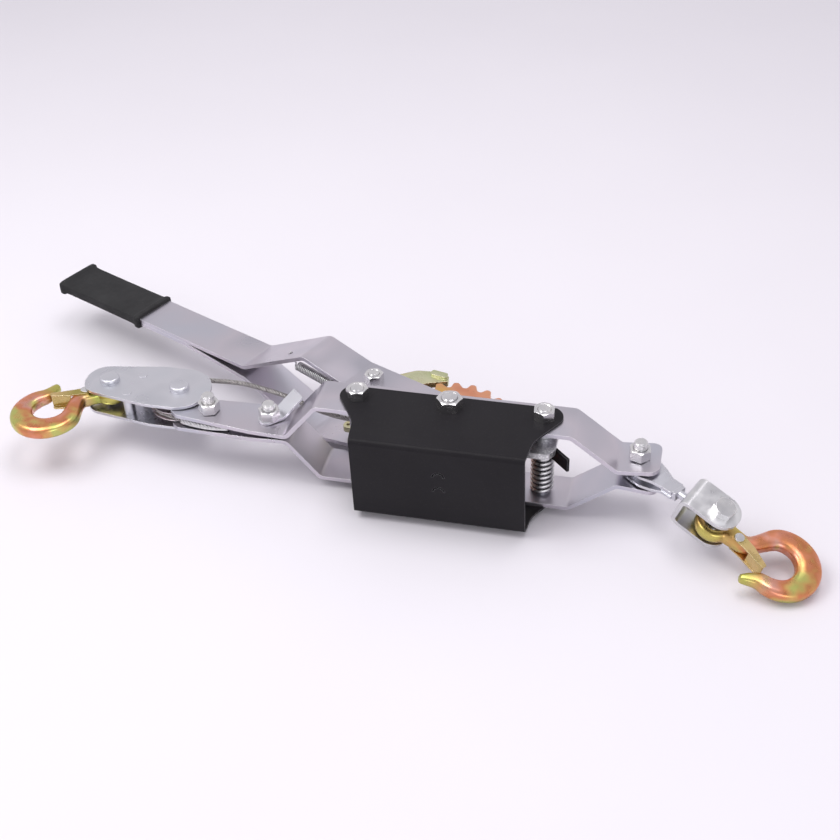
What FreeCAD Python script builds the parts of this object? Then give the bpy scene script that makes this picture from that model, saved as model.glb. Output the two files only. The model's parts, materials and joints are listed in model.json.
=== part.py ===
import FreeCAD
import Part
import math
import os

# A hand-cranked cable puller, lying on its side with the drum axis upright.
# Millimetres. X runs along the frame to the rear hook, Y to the side the handle
# is folded to, Z up the drum axis. The solids are drawn about the frame's middle
# plane; save() lifts them so that the bolt heads rest on Z = 0.

V = FreeCAD.Vector
UP = V(0, 0, 1)
MID_HEIGHT = 52.0          # frame middle plane above the resting plane

# Frame strips
STRIP_T = 4.0
STRIP_HALF_W = 21.0
STRIP_OUTER = 43.0         # outer face of the boxed section from the middle plane
STRIP_INNER = STRIP_OUTER - STRIP_T
FRONT_BEND = -122.0
FRONT_WAIST = -153.0
FRONT_END = -270.0
REAR_BEND = 113.0
REAR_WAIST = 155.0
REAR_END = 193.0
WAIST_TOP_FRONT = 4.6      # outer face heights where the strips come together
END_TOP_FRONT = 9.9
WAIST_TOP_REAR = 10.0
END_TOP_REAR = 14.0

# Cross bolts and end bolts
COVER_BOLT_X = 86.0
AXLE_R = 7.0
BOLT_R = 6.0
ANCHOR_X = -234.0
GUIDE_X = -174.0
REAR_X = 173.0
HEAD_H = 7.0
NUT_H = 10.0
GUIDE_T = 2.5              # the strap under the guide bolt's nut
GUIDE_YAW = 46.0

# Guard cover
COVER_T = 2.0
COVER_TOP_Y = -64.0
COVER_BOTTOM_Y = -58.0
LOUVRE_X = 1.5
LOUVRE_HEIGHTS = (12.6, -4.9)
LOUVRE_R = 6.0
LOUVRE_W = 1.8
LOUVRE_DEPTH = 1.2

# Drum, ratchet wheels and wire rope
ROPE_R = 2.5
CORE_R = 14.0
WHEEL_LOW = 24.0
WHEEL_TOP = 30.0
TIP_R = 56.5
ROOT_R = 49.5
TEETH = 21
WINDING_R = 22.5
HAUL_Y = WINDING_R - ROPE_R

# Handle, measured along its own length from the drum axis
HANDLE_ANGLE = 24.4
ARM_T = 4.0
ARM_HALF_W = 21.5
ARM_MID = 35.5             # arm's middle surface beside the drum
ARM_RISE = 108.0           # where the arm starts to rise past the frame
ARM_CREST = 157.0
ARM_CREST_H = 47.0
UPPER_JOIN = 240.0
LOWER_JOIN = 322.0
LOWER_KNEE_H = -12.0       # lower arm's middle surface where its steep part ends
GRIP_START = 388.0
GRIP_END = 510.0
PAWL_PIVOT = V(-80.0, 37.0, 0)
PAWL_BOLT_R = 5.0
SPRING_TAIL = V(-110.5, 42.0, 0)
SPRING_HOLE = V(-172.0, 69.5, 0)
SPRING_START = V(-162.0, 60.5, 26.5)
SPRING_STOP = V(-124.0, 39.0, 26.0)
SPRING_R = 5.0

# Pulley block
SHEAVE = V(-272.0, 22.0, 0)
HOOK_PIN = V(-344.0, 22.0, 0)
PLATE_OUT = 13.3
PLATE_T = 2.9
BLOCK_RIVETS = (V(-315.0, 36.0, 0), V(-320.0, 6.0, 0))
SHEAVE_HALF_W = 4.3
WRAP_START = 110.0         # angles on the sheave where the rope meets and leaves it
WRAP_END = 253.7
HAUL_END = V(-258.0, 55.0, 0)
FERRULE_START = V(-257.0, -9.5, 0)
FERRULE_END = V(-238.0, -13.3, 0)
FERRULE_R = 3.9
THIMBLE_R = 8.0
LEAD_GAP = 1.0             # space left between two neighbouring lengths of rope
SHEAVE_R = 29.5
PITCH_R = 26.0
PIN_R = 6.0

# Hooks, measured from the centre of the eye
EYE_R = 17.0
EYE_HOLE_R = 8.5
HOOK_HALF_T = 6.5
FRONT_HOOK_ANGLE = 222.2
BOWL = V(63.0, -1.0, 0)
BOWL_R = 16.5
BACK = V(67.0, 1.5, 0)
BACK_R = 34.0
LATCH_PIVOT = V(25.0, -4.0, 0)
LATCH_PIN_R = 2.5
LATCH_SPRING_R = 3.8
LATCH_T = 1.5
LATCH_LENGTH = 33.0
LATCH_ANGLE = -21.0

# Rear link and swivel clevis
LINK_YAW = -37.6
LINK_LENGTH = 55.0         # end bolt axis to the clevis web's outer face
CLEVIS_YAW = -24.0
CLEVIS_PITCH = 20.2
CLEVIS_ROLL = 8.6
REAR_HOOK_SWING = 2.6
REAR_HOOK_DROP = 5.0       # the eye has slid down the clevis bolt
REAR_HOOK_ROCK = 4.0       # and leans on it, so that the hook lies flatter than the clevis
CLEVIS_HALF_H = 18.0
CLEVIS_HALF_W = 16.5
CLEVIS_BOLT = 33.0         # web's outer face to the bolt axis
CLEVIS_T = 4.0
STEM_R = 4.0
SEAT_R = 10.2              # the swivel washer's rounded front, about the tilt axis

FIT = 0.05                 # radial running clearance on pins and shafts
GAP = 0.15                 # side play between stacked pieces


# ---------------------------------------------------------------- small tools

def save(name, shape):
    """Writes one node, lifted so that the resting plane is Z = 0."""
    moved = shape.copy()
    moved.translate(V(0, 0, MID_HEIGHT))
    moved.exportStep("parts/" + name + ".step")
    solids = moved.Solids
    print(name, len(solids), moved.isValid(), round(moved.Volume))


def group(*solids):
    return Part.makeCompound(list(solids))


def cylinder(r, low, high, at=V(0, 0, 0)):
    return Part.makeCylinder(r, high - low, V(at.x, at.y, at.z + low), UP)


def tube(outer, inner, low, high, at=V(0, 0, 0)):
    return cylinder(outer, low, high, at).cut(cylinder(inner, low - 1, high + 1, at))


def corner_points(points):
    """Turns a closed list of (x, y, radius) into straight edges and tangent arcs."""
    edges = []
    ends = []
    count = len(points)
    for i in range(count):
        here = V(points[i][0], points[i][1], 0)
        before = V(points[i - 1][0], points[i - 1][1], 0)
        after = V(points[(i + 1) % count][0], points[(i + 1) % count][1], 0)
        back = (before - here).normalize()
        on = (after - here).normalize()
        radius = points[i][2]
        half = back.getAngle(on) / 2
        if radius <= 0 or half > math.pi / 2 - 1e-4:
            ends.append((here, here, None))
            continue
        reach = radius / math.tan(half)
        middle = (back + on).normalize()
        top = here + middle * (radius / math.sin(half) - radius)
        ends.append((here + back * reach, here + on * reach, top))
    for i in range(count):
        start, stop, top = ends[i]
        if top is not None:
            edges.append(Part.Arc(start, top, stop).toShape())
        nxt = ends[(i + 1) % count][0]
        if (nxt - stop).Length > 1e-6:
            edges.append(Part.LineSegment(stop, nxt).toShape())
    return Part.Wire(edges)


def plate(points, low, high):
    """A flat plate with a rounded outline, between two heights."""
    face = Part.Face(corner_points(points))
    face.translate(V(0, 0, low))
    return face.extrude(V(0, 0, high - low))


def sheet_outline(path, thickness, bend):
    """The closed section of a bent sheet whose middle surface follows path."""
    half = thickness / 2
    left = []
    right = []
    last = len(path) - 1
    for i, point in enumerate(path):
        here = V(point[0], point[1], 0)
        ahead = None
        behind = None
        if i < last:
            ahead = (V(path[i + 1][0], path[i + 1][1], 0) - here).normalize()
        if i > 0:
            behind = (here - V(path[i - 1][0], path[i - 1][1], 0)).normalize()
        one = behind if behind is not None else ahead
        two = ahead if ahead is not None else behind
        normal = (V(-one.y, one.x, 0) + V(-two.y, two.x, 0)).normalize()
        stretch = half / normal.dot(V(-two.y, two.x, 0))
        turn = one.cross(two).z
        inner = bend
        outer = bend + thickness
        if i in (0, last):
            inner = 0
            outer = 0
        a = here + normal * stretch
        b = here - normal * stretch
        left.append((a.x, a.y, inner if turn > 0 else outer))
        right.append((b.x, b.y, outer if turn > 0 else inner))
    return left + right[::-1]


def bent_sheet(path, thickness, bend, low, high):
    """A bent sheet: its section lies in XZ and runs along Y from low to high."""
    face = Part.Face(corner_points(sheet_outline(path, thickness, bend)))
    solid = face.extrude(V(0, 0, high - low))
    solid.rotate(V(0, 0, 0), V(1, 0, 0), 90)
    solid.translate(V(0, high, 0))
    return solid


def trimmed(solid, points):
    """Trims a bent sheet to a rounded outline seen from above."""
    return solid.common(plate(points, -100, 100)).removeSplitter()


def mirrored(shape):
    return shape.mirror(V(0, 0, 0), UP)


def hexagon(across_flats, low, high, at=V(0, 0, 0), turn=0.0, chamfer_top=True):
    """A hexagonal head or nut, its corners chamfered at the free face."""
    corner = across_flats / 2 / math.cos(math.radians(30))
    ring = []
    for i in range(6):
        angle = math.radians(60 * i + turn)
        ring.append((at.x + corner * math.cos(angle), at.y + corner * math.sin(angle), 0))
    prism = plate(ring, low + at.z, high + at.z)
    height = high - low
    drop = (corner - across_flats / 2) * 0.6
    flat = across_flats / 2 * 0.97
    profile = [V(0, 0, 0), V(corner + 1, 0, 0), V(corner + 1, 0, height - drop - 0.6),
               V(flat, 0, height), V(0, 0, height)]
    section = Part.Face(Part.makePolygon(profile + profile[:1]))
    cap = section.revolve(V(0, 0, 0), UP, 360)
    if not chamfer_top:
        cap = mirrored(cap)
        cap.translate(V(0, 0, height))
    cap.translate(V(at.x, at.y, at.z + low))
    return prism.common(cap)


def bolt(r, across_flats, head_low, head_high, tip, at, turn=0.0):
    """A hexagon bolt standing head down."""
    head = hexagon(across_flats, head_low, head_high, at, turn, chamfer_top=False)
    shank = cylinder(r, head_high - 1, tip - 1, at)
    end = Part.makeCone(r, r - 1, 1, V(at.x, at.y, at.z + tip - 1), UP)
    return head.fuse([shank, end]).removeSplitter()


def nut(across_flats, r, low, high, at, turn=0.0):
    """A hexagon nut whose hole is countersunk at both faces."""
    sink = 0.9
    solid = hexagon(across_flats, low, high, at, turn).cut(cylinder(r, low - 1, high + 1, at))
    bottom = Part.makeCone(r + sink, r, sink, V(at.x, at.y, at.z + low), UP)
    top = Part.makeCone(r, r + sink, sink, V(at.x, at.y, at.z + high - sink), UP)
    return solid.cut(bottom).cut(top)


def place(shape, origin, along, upward):
    """Moves a shape drawn about the origin so that X lies along and Z upward."""
    side = upward.cross(along)
    turn = FreeCAD.Rotation(along, side, upward, "XZY")
    moved = shape.copy()
    moved.Placement = FreeCAD.Placement(origin, turn).multiply(moved.Placement)
    return moved


def rope(points, radius=ROPE_R):
    """A round cord along straight runs joined by tangent arcs as large as fit."""
    edges = []
    start = points[0]
    for i in range(1, len(points) - 1):
        here = points[i]
        back = points[i - 1] - here
        on = points[i + 1] - here
        turn = math.pi - back.getAngle(on)
        bend = 0.45 * min(back.Length, on.Length) / math.tan(turn / 2)
        reach = bend * math.tan(turn / 2)
        back = back.normalize()
        on = on.normalize()
        middle = (back + on).normalize()
        top = here + middle * (bend / math.cos(turn / 2) - bend)
        first = here + back * reach
        last = here + on * reach
        edges.append(Part.LineSegment(start, first).toShape())
        edges.append(Part.Arc(first, top, last).toShape())
        start = last
        print("rope bend radius", round(bend))
    edges.append(Part.LineSegment(start, points[-1]).toShape())
    path = Part.Wire(edges)
    along = (points[1] - points[0]).normalize()
    ring = Part.Wire(Part.makeCircle(radius, points[0], along))
    solid = path.makePipeShell([ring], True, False)
    ideal = math.pi * radius ** 2 * path.Length
    print("rope run", round(path.Length), "volume ratio", round(solid.Volume / ideal, 4))
    return solid


def strip_top(x):
    """Height of the upper strip's outer face at the narrow ends of the frame."""
    if x < 0:
        share = (FRONT_WAIST - x) / (FRONT_WAIST - FRONT_END)
        return WAIST_TOP_FRONT + share * (END_TOP_FRONT - WAIST_TOP_FRONT)
    share = (x - REAR_WAIST) / (REAR_END - REAR_WAIST)
    return WAIST_TOP_REAR + share * (END_TOP_REAR - WAIST_TOP_REAR)


def seat(x):
    """Height at which a nut or head clears the sloping strip end all round."""
    return max(strip_top(x - 10.5), strip_top(x + 10.5)) + 0.05


# ---------------------------------------------------------------------- frame

def frame_strip():
    half = STRIP_T / 2
    path = [(FRONT_END, END_TOP_FRONT - half), (FRONT_WAIST, WAIST_TOP_FRONT - half),
            (FRONT_BEND, STRIP_OUTER - half), (REAR_BEND, STRIP_OUTER - half),
            (REAR_WAIST, WAIST_TOP_REAR - half), (REAR_END, END_TOP_REAR - half)]
    solid = bent_sheet(path, STRIP_T, 6, -STRIP_HALF_W, STRIP_HALF_W)
    w = STRIP_HALF_W
    outline = [(FRONT_END, -9, 2), (FRONT_END + 7, -14.5, 3), (-188, -w, 30), (REAR_END - 1, -w, 9),
               (REAR_END - 1, w, 9), (-188, w, 30), (FRONT_END + 7, 14.5, 3), (FRONT_END, 9, 2)]
    solid = trimmed(solid, outline)
    for x, r in ((-COVER_BOLT_X, BOLT_R), (COVER_BOLT_X, BOLT_R), (0, AXLE_R),
                 (ANCHOR_X, BOLT_R), (GUIDE_X, BOLT_R), (REAR_X, BOLT_R)):
        solid = solid.cut(cylinder(r, -60, 60, V(x, 0, 0)))
    return solid


def guard_cover():
    half = COVER_T / 2
    level = STRIP_OUTER + half
    path = [(15, level), (COVER_TOP_Y + half, level), (COVER_BOTTOM_Y + half, -level), (15, -level)]
    solid = bent_sheet(path, COVER_T, 2.5, -110, 110)
    solid.rotate(V(0, 0, 0), UP, 90)
    outline = [(80, 17, 12), (COVER_BOLT_X + 17, 17, 15), (103, -2, 12), (82, -36, 25),
               (78, -70, 0)]
    mirror = [(-x, y, r) for x, y, r in outline[::-1]]
    solid = trimmed(solid, outline + mirror)
    for x, r in ((-COVER_BOLT_X, BOLT_R), (0, AXLE_R), (COVER_BOLT_X, BOLT_R)):
        solid = solid.cut(cylinder(r, -60, 60, V(x, 0, 0)))
    return solid


def cover_louvre(height):
    """A half-moon groove pressed into the cover's front plate, open side down."""
    lean = (COVER_BOTTOM_Y - COVER_TOP_Y) / (2 * STRIP_OUTER)
    face_y = (COVER_TOP_Y + COVER_BOTTOM_Y) / 2 - lean * height
    ahead = V(LOUVRE_X, face_y + LOUVRE_DEPTH, height)
    ring = Part.makeCylinder(LOUVRE_R, 20, ahead, V(0, -1, 0))
    ring = ring.cut(Part.makeCylinder(LOUVRE_R - LOUVRE_W, 20, ahead, V(0, -1, 0)))
    upper_half = Part.makeBox(4 * LOUVRE_R, 40, 2 * LOUVRE_R, ahead - V(2 * LOUVRE_R, 30, 0))
    return ring.common(upper_half)


def frame_body():
    upper = frame_strip()
    save("frame_upper_strip", upper)
    save("frame_lower_strip", mirrored(upper))
    cover = guard_cover()
    for height in LOUVRE_HEIGHTS:
        cover = cover.cut(cover_louvre(height))
    save("guard_cover", cover)

    flap = STRIP_OUTER + COVER_T
    sides = (V(-COVER_BOLT_X, 0, 0), V(COVER_BOLT_X, 0, 0))
    turns = (12, 35)
    save("cover_bolts", group(*[bolt(BOLT_R, 18, -flap - HEAD_H, -flap, flap + 10.4, at, turn)
                                for at, turn in zip(sides, turns)]))
    save("cover_nuts", group(*[nut(18, BOLT_R, flap, flap + NUT_H, at, turn)
                               for at, turn in zip(sides, turns)]))
    centre = V(0, 0, 0)
    save("drum_axle_bolt", bolt(AXLE_R, 21, -flap - HEAD_H, -flap, flap + 12, centre, 8))
    save("drum_axle_nut", nut(21, AXLE_R, flap, flap + 10.5, centre, 8))

    ends = ((ANCHOR_X, 8.0, 20), (GUIDE_X, 6.5, 5), (REAR_X, 7.0, 40))
    bolts = []
    nuts = []
    for x, proud, turn in ends:
        low = seat(x)
        if x == GUIDE_X:
            low = low + GUIDE_T + 0.05
        at = V(x, 0, 0)
        bolts.append(bolt(BOLT_R, 18, -seat(x) - HEAD_H, -seat(x), low + NUT_H + proud, at, turn))
        nuts.append(nut(18, BOLT_R, low, low + NUT_H, at, turn))
    save("end_bolts", group(*bolts))
    save("end_nuts", group(*nuts))
    save("front_spacer_tube", tube(9, BOLT_R, -STRIP_INNER, STRIP_INNER, sides[0]))
    save("rope_guide_strap", rope_guide())


def rope_guide():
    """The bent strap that keeps the rope against the side of the frame's waist."""
    base = seat(GUIDE_X) + GUIDE_T / 2
    reach = 33
    w = 8.5
    path = [(-11, base), (11, base), (reach, 22)]
    solid = bent_sheet(path, GUIDE_T, 4, -w, w)
    solid = trimmed(solid, [(-11, -w, 8), (reach, -w, 2), (reach, w, 2), (-11, w, 8)])
    solid = solid.cut(cylinder(BOLT_R, -60, 60))
    solid.rotate(V(0, 0, 0), UP, GUIDE_YAW)
    solid.translate(V(GUIDE_X, 0, 0))
    return solid


# ----------------------------------------------------------------------- drum

def ratchet_wheel():
    points = []
    pitch = 360.0 / TEETH
    for i in range(TEETH):
        start = i * pitch + 2.0
        for share, r, fillet in ((0.0, ROOT_R, 3.2), (0.30, TIP_R, 3.0), (0.58, TIP_R, 2.6),
                                 (0.74, ROOT_R, 2.4)):
            angle = math.radians(start + share * pitch)
            points.append((r * math.cos(angle), r * math.sin(angle), fillet))
    wheel = plate(points, WHEEL_LOW, WHEEL_TOP)
    return wheel.cut(cylinder(CORE_R, WHEEL_LOW - 1, WHEEL_TOP + 1))


def drum_body():
    save("drum_core", tube(CORE_R, 9, -WHEEL_TOP, WHEEL_TOP))
    wheel = ratchet_wheel()
    save("ratchet_wheel_upper", wheel)
    save("ratchet_wheel_lower", mirrored(wheel))
    save("drum_bushings", group(tube(9, AXLE_R + FIT, 14, WHEEL_TOP),
                                tube(9, AXLE_R + FIT, -WHEEL_TOP, -14)))
    save("rope_winding", tube(WINDING_R, CORE_R, -WHEEL_LOW + 1, WHEEL_LOW - 1))


# --------------------------------------------------------------------- handle

def handle_arm(path):
    """A bent arm drawn along +X from the drum axis, with a round hub end."""
    solid = bent_sheet(path, ARM_T, 8, -60, 60)
    w = ARM_HALF_W
    tail = GRIP_END - 7
    return trimmed(solid, [(-w, -w, w - 0.1), (tail, -w, 6), (tail, w, 6), (-w, w, w - 0.1)])


def on_handle(shape):
    """Swings a shape from the handle's own axes to where the handle lies."""
    turned = shape.copy()
    turned.rotate(V(0, 0, 0), UP, 180 - HANDLE_ANGLE)
    return turned


def handle_body():
    half = ARM_T / 2
    upper_path = [(-30, ARM_MID), (ARM_RISE, ARM_MID), (ARM_CREST, ARM_CREST_H), (UPPER_JOIN, half),
                  (GRIP_END - 6, half)]
    lower_path = [(-30, -ARM_MID), (ARM_RISE, -ARM_MID), (ARM_CREST, -ARM_CREST_H),
                  (UPPER_JOIN, LOWER_KNEE_H), (LOWER_JOIN, -half), (GRIP_END - 6, -half)]
    arms = [on_handle(handle_arm(upper_path)), on_handle(handle_arm(lower_path))]
    rivets = []
    for reach, side in ((405, 7), (480, -7)):
        spot = on_handle(Part.Vertex(reach, side, 0)).Point
        rivets.append(cylinder(3, -ARM_T, ARM_T, spot))
        arms = [arm.cut(cylinder(3, -10, 10, spot)) for arm in arms]
    arms = [arm.cut(cylinder(AXLE_R + FIT, -60, 60)) for arm in arms]
    arms = [arm.cut(cylinder(PAWL_BOLT_R, -60, 60, PAWL_PIVOT)) for arm in arms]
    save("handle_upper_arm", arms[0].cut(cylinder(2.6, 0, 60, SPRING_HOLE)))
    save("handle_lower_arm", arms[1])
    save("handle_rivets", group(*rivets))
    save("handle_grip", on_handle(handle_grip()))

    arm_out = ARM_MID + half
    arm_in = ARM_MID - half
    outer = tube(15, AXLE_R + FIT, arm_out, STRIP_INNER - GAP)
    inner = tube(12, AXLE_R + FIT, WHEEL_TOP + GAP, arm_in)
    save("handle_washers", group(outer, inner, mirrored(outer), mirrored(inner)))
    pivot = PAWL_PIVOT
    save("drive_pawl_bolt", bolt(PAWL_BOLT_R, 16, -arm_out - 6, -arm_out, arm_out + 9, pivot, 20))
    save("drive_pawl_nut", nut(16, PAWL_BOLT_R, arm_out, arm_out + 8, pivot, 20))
    spacer = tube(9, PAWL_BOLT_R, WHEEL_TOP + GAP, arm_in, pivot)
    save("drive_pawl_spacers", group(spacer, mirrored(spacer)))
    along = SPRING_STOP - SPRING_START
    save("drive_pawl_spring", Part.makeCylinder(SPRING_R, along.Length, SPRING_START, along))


def handle_grip():
    """The rubber sleeve pushed over the two flat arm ends, with a lip at each end."""
    lip = 7.0
    body = plate([(GRIP_START + 3, -24, 4), (GRIP_END - 3, -24, 4), (GRIP_END - 3, 24, 4),
                  (GRIP_START + 3, 24, 4)], -lip + 1, lip - 1)
    ends = []
    for x in (GRIP_START, GRIP_END - 7):
        ends.append(plate([(x, -25.5, 3), (x + 7, -25.5, 3), (x + 7, 25.5, 3), (x, 25.5, 3)],
                          -lip - 0.8, lip + 0.8))
    sleeve = body.fuse(ends).removeSplitter()
    slot = Part.makeBox(GRIP_END + 3 - GRIP_START, 2 * ARM_HALF_W, 2 * ARM_T,
                       V(GRIP_START - 10, -ARM_HALF_W, -ARM_T))
    return sleeve.cut(slot)


# ---------------------------------------------------------------------- pawls

def drive_pawl():
    outline = [(-13.5, 57.0, 1.2), (-14.0, 65.0, 3), (-29, 70, 8), (-46, 69, 14), (-66, 57, 20),
               (-84, 51, 9), (-114, 47, 4), (-116, 38, 4), (-94, 34, 10), (-86, 24, 8), (-68, 26, 9),
               (-48, 42, 14), (-33, 50.5, 12)]
    solid = plate(outline, WHEEL_LOW, WHEEL_TOP)
    solid = solid.cut(cylinder(PAWL_BOLT_R + FIT, -60, 60, PAWL_PIVOT))
    return solid.cut(cylinder(1.8, 0, 60, SPRING_TAIL))


def drive_pawl_body():
    pawl = drive_pawl()
    nose = plate([(-15.0, 58.6, 2), (-15.0, 66.0, 2.5), (-31, 70, 2.5), (-32, 62.5, 3)],
                 WHEEL_TOP, WHEEL_TOP + 2.5)
    save("drive_pawl_upper", pawl.fuse(nose).removeSplitter())
    save("drive_pawl_lower", mirrored(pawl))
    save("drive_pawl_sleeve", tube(8, PAWL_BOLT_R + FIT, -WHEEL_LOW, WHEEL_LOW, PAWL_PIVOT))


def holding_pawl_body():
    pivot = V(COVER_BOLT_X, 0, 0)
    outline = [(52.8, -23.2, 1.2), (59, -33, 4), (76, -34, 6), (95, -34, 4), (100, -26, 4),
               (100, 12, 12), (76, 13, 12), (71, -3, 6)]
    pawl = plate(outline, WHEEL_LOW, WHEEL_TOP).cut(cylinder(BOLT_R + FIT, -60, 60, pivot))
    save("holding_pawl", pawl)
    foot = plate([(80, -30, 2), (97, -30, 2), (100, -13, 2), (95, -9.5, 1), (87, -15, 2)],
                 WHEEL_LOW - 2.5, WHEEL_LOW)
    tab = Part.makeBox(24, 2.5, 14, V(0, -1.25, WHEEL_LOW - 14.5))
    tab.rotate(V(0, 0, 0), UP, -45)
    tab.translate(V(95.5, -11.5, 0))
    save("holding_pawl_release", foot.fuse(tab).removeSplitter())
    sleeve = tube(7, BOLT_R + FIT, -STRIP_INNER + GAP, WHEEL_LOW - GAP, pivot)
    washer = tube(13, BOLT_R + FIT, WHEEL_TOP + GAP, STRIP_INNER - GAP, pivot)
    save("holding_pawl_spacers", group(sleeve, washer))
    save("holding_pawl_spring", tube(11.2, 7.3, -STRIP_INNER + 0.3, WHEEL_LOW - 3, pivot))


# --------------------------------------------------------------- pulley block

def block_plate():
    p = SHEAVE
    q = HOOK_PIN
    outline = [(p.x + 31, p.y - 31, 30.9), (p.x + 31, p.y + 31, 30.9), (p.x - 24, p.y + 31, 45),
               (q.x - 24, q.y + 19, 20), (q.x - 24, q.y - 19, 20), (p.x - 24, p.y - 31, 45)]
    solid = plate(outline, PLATE_OUT - PLATE_T, PLATE_OUT)
    solid = solid.cut(cylinder(PIN_R, 0, 60, p)).cut(cylinder(PIN_R, 0, 60, q))
    for at in BLOCK_RIVETS:
        solid = solid.cut(cylinder(3, 0, 60, at))
    return solid


def headed_pin(at):
    """A plain pin with a domed head above and a riveted collar below."""
    shank = cylinder(PIN_R, -PLATE_OUT, PLATE_OUT, at)
    head = cylinder(9.5, PLATE_OUT, PLATE_OUT + 4.5, at)
    head = head.makeFillet(2.5, [head.Edges[0]])
    collar = cylinder(8.5, -PLATE_OUT - 3, -PLATE_OUT, at)
    return shank.fuse([head, collar]).removeSplitter()


def block_body():
    upper = block_plate()
    save("block_upper_plate", upper)
    save("block_lower_plate", mirrored(upper))
    inner = PLATE_OUT - PLATE_T
    spacers = []
    for at in BLOCK_RIVETS:
        core = cylinder(3, -PLATE_OUT - 0.4, PLATE_OUT + 0.4, at)
        core = core.fuse([cylinder(4.6, PLATE_OUT, PLATE_OUT + 0.4, at),
                          cylinder(4.6, -PLATE_OUT - 0.4, -PLATE_OUT, at),
                          cylinder(5.5, -inner, inner, at)])
        spacers.append(core.removeSplitter())
    save("block_spacer_rivets", group(*spacers))
    save("sheave_pin", headed_pin(SHEAVE))
    save("front_hook_pin", headed_pin(HOOK_PIN))
    floor = PITCH_R - ROPE_R - 0.3
    rim = SHEAVE_HALF_W - 0.7
    profile = [(PIN_R + FIT, -SHEAVE_HALF_W), (SHEAVE_R, -SHEAVE_HALF_W), (SHEAVE_R, -rim),
               (floor, -2.2), (floor, 2.2), (SHEAVE_R, rim), (SHEAVE_R, SHEAVE_HALF_W),
               (PIN_R + FIT, SHEAVE_HALF_W)]
    points = [V(x, 0, z) for x, z in profile]
    sheave = Part.Face(Part.makePolygon(points + points[:1])).revolve(V(0, 0, 0), UP, 360)
    sheave.translate(SHEAVE)
    save("sheave", sheave)
    washer = tube(10, PIN_R + FIT, SHEAVE_HALF_W + GAP, inner, SHEAVE)
    save("sheave_washers", group(washer, mirrored(washer)))


# ---------------------------------------------------------------------- hooks

def on_circle(centre, radius, degrees):
    angle = math.radians(degrees)
    return V(centre.x + radius * math.cos(angle), centre.y + radius * math.sin(angle), 0)


def hook():
    """A forged eye hook along +X from its eye, with the point on its -Y side."""
    bowl_start = on_circle(BOWL, BOWL_R, 128)
    bowl_end = on_circle(BOWL, BOWL_R, -112)
    back_start = on_circle(BACK, BACK_R, -84)
    back_end = on_circle(BACK, BACK_R, 118)
    tip_in = V(44.0, -30.5, 0)
    tip_end = V(40.5, -35.5, 0)
    tip_out = V(46.0, -37.0, 0)
    neck_in = V(35.0, -9.0, 0)
    root_in = V(8.0, -10.5, 0)
    root_out = V(8.0, 8.5, 0)
    neck_out = V(29.0, 5.5, 0)
    edges = [Part.LineSegment(root_in, neck_in).toShape(),
             Part.LineSegment(neck_in, bowl_start).toShape(),
             Part.Arc(bowl_start, on_circle(BOWL, BOWL_R, 0), bowl_end).toShape(),
             Part.LineSegment(bowl_end, tip_in).toShape(),
             Part.Arc(tip_in, tip_end, tip_out).toShape(),
             Part.LineSegment(tip_out, back_start).toShape(),
             Part.Arc(back_start, on_circle(BACK, BACK_R, 0), back_end).toShape(),
             Part.LineSegment(back_end, neck_out).toShape(),
             Part.LineSegment(neck_out, root_out).toShape(),
             Part.LineSegment(root_out, root_in).toShape()]
    face = Part.Face(Part.Wire(edges))
    face.translate(V(0, 0, -HOOK_HALF_T))
    body = face.extrude(V(0, 0, 2 * HOOK_HALF_T))
    body = body.fuse(cylinder(EYE_R, -6, 6)).cut(cylinder(EYE_HOLE_R, -20, 20))
    body = body.cut(cylinder(LATCH_PIN_R, -20, 20, LATCH_PIVOT))
    body = body.cut(cylinder(LATCH_SPRING_R + 0.4, HOOK_HALF_T - 3, 20, LATCH_PIVOT))
    return body.removeSplitter()


def latch():
    """The sheet latch: two ears on the neck rivet and a web that closes the mouth."""
    inside = HOOK_HALF_T + 0.2
    outside = inside + LATCH_T
    ear = plate([(-5, -5, 4.5), (8, -3, 3), (LATCH_LENGTH, -LATCH_T, 0), (LATCH_LENGTH, 3, 1.5),
                 (14, 6, 6), (-5, 5, 4.5)], inside, outside)
    web = Part.makeBox(LATCH_LENGTH - 15, LATCH_T, 2 * outside, V(15, -LATCH_T, -outside))
    solid = web.fuse([ear, mirrored(ear)]).cut(cylinder(LATCH_PIN_R + FIT, -20, 20))
    solid.rotate(V(0, 0, 0), UP, LATCH_ANGLE)
    solid.translate(LATCH_PIVOT)
    return solid.removeSplitter()


def latch_rivet():
    head_low = HOOK_HALF_T + 0.3 + LATCH_T
    shank = cylinder(LATCH_PIN_R, -head_low, head_low, LATCH_PIVOT)
    heads = [cylinder(4.2, head_low, head_low + 1.3, LATCH_PIVOT),
             cylinder(4.2, -head_low - 1.3, -head_low, LATCH_PIVOT)]
    return shank.fuse(heads).removeSplitter()


def hook_set(prefix, placing):
    save(prefix + "_hook", placing(hook()))
    save(prefix + "_latch", placing(latch()))
    save(prefix + "_latch_rivet", placing(latch_rivet()))
    coil = tube(LATCH_SPRING_R, LATCH_PIN_R + 0.1, HOOK_HALF_T - 2.8, HOOK_HALF_T, LATCH_PIVOT)
    save(prefix + "_latch_spring", placing(coil))


def front_hook_place(shape):
    angle = math.radians(FRONT_HOOK_ANGLE)
    along = V(math.cos(angle), math.sin(angle), 0)
    return place(shape, HOOK_PIN, along, UP)


# --------------------------------------------------- rear link, clevis and hook

def level(yaw):
    return V(math.cos(math.radians(yaw)), math.sin(math.radians(yaw)), 0)


REAR_BOLT = V(REAR_X, 0, 0)
LINK_DIR = level(LINK_YAW)
WEB_POINT = REAR_BOLT + LINK_DIR * LINK_LENGTH


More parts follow.
